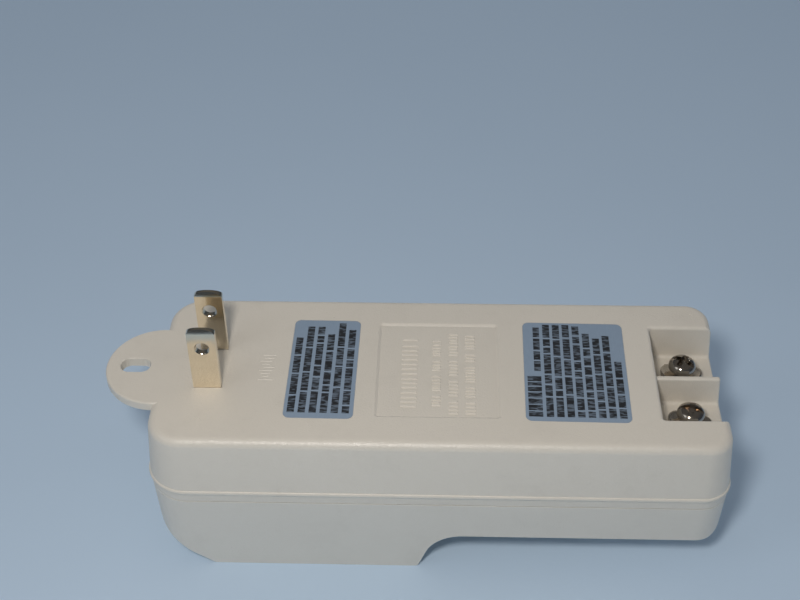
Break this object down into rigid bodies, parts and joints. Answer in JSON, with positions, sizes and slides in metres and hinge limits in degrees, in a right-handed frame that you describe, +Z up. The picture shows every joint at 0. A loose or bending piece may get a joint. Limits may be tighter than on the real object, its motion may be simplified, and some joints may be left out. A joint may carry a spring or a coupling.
{
  "type": "plug-in wall transformer",
  "caption": "Ivory plug-in low-voltage transformer: stepped two-shell case, flat blades, slotted fixing tab, and an open recess with clamp-screw terminals.",
  "frame": {"origin": "centre of the overall box (fixing tab and blades included) on the plane of the flat outer face that the unit rests on", "axes": "+X along the case from the fixing tab to the screw terminals, +Y across the case from the front blade to the back blade, +Z up out of the wall-side face along the blades"},
  "size_m": [0.1434, 0.0514, 0.0588],
  "materials": {
    "casing": "fine spark-eroded texture, ivory",
    "blades": "nickel plated, bright",
    "dark_plastic": "moulded phenolic",
    "label": "grey printed label stock",
    "core": "varnished silicon steel laminations",
    "bobbin": "natural nylon",
    "copper_wire": "enamelled copper",
    "tape": "polyester film tape",
    "fuse": "plated can",
    "insulation": "fishpaper",
    "foam": "closed-cell foam",
    "lead_white": "PVC insulation",
    "lead_black": "PVC insulation",
    "lead_brown": "PVC insulation",
    "lead_red": "PVC insulation",
    "nickel": "nickel plated, bright",
    "screws": "nickel plated, bright"
  },
  "bodies": {
    "casing": {"wall_cover": "casing", "outer_cover": "casing", "blade_front": "blades", "blade_back": "blades", "blade_retainer": "dark_plastic", "small_label": "label", "large_label": "label", "e_laminations": "core", "i_laminations": "core", "bobbin": "bobbin", "primary_winding": "copper_wire", "secondary_winding": "copper_wire", "primary_tape": "tape", "secondary_tape": "tape", "thermal_fuse": "fuse", "insulation_sheet": "insulation", "base_pad": "foam", "primary_lead_front": "lead_white", "primary_lead_back": "lead_black", "secondary_lead_front": "lead_brown", "secondary_lead_back": "lead_red", "terminal_plate_front": "nickel", "terminal_plate_back": "nickel"},
    "washer_front": {"clamp_washer_front": "nickel"},
    "screw_front": {"terminal_screw_front": "screws"},
    "washer_back": {"clamp_washer_back": "nickel"},
    "screw_back": {"terminal_screw_back": "screws"}
  },
  "joints": [
    {"name": "washer_front_lift", "type": "slide", "parent": "casing", "child": "washer_front", "axis": [0, 0, 1], "range_m": [0, 0.003]},
    {"name": "screw_front_turn", "type": "hinge", "parent": "washer_front", "child": "screw_front", "pos_m": [0.06293, -0.00785, 0.0329], "axis": [0, 0, 1], "range_deg": [0, 1361]},
    {"name": "washer_back_lift", "type": "slide", "parent": "casing", "child": "washer_back", "axis": [0, 0, 1], "range_m": [0, 0.003]},
    {"name": "screw_back_turn", "type": "hinge", "parent": "washer_back", "child": "screw_back", "pos_m": [0.06293, 0.00785, 0.0329], "axis": [0, 0, 1], "range_deg": [0, 1361]}
  ],
  "couplings": [
    {"joint": "screw_front_turn", "follows": "washer_front_lift", "rad_per_m": 7915.8},
    {"joint": "screw_back_turn", "follows": "washer_back_lift", "rad_per_m": 7915.8}
  ]
}
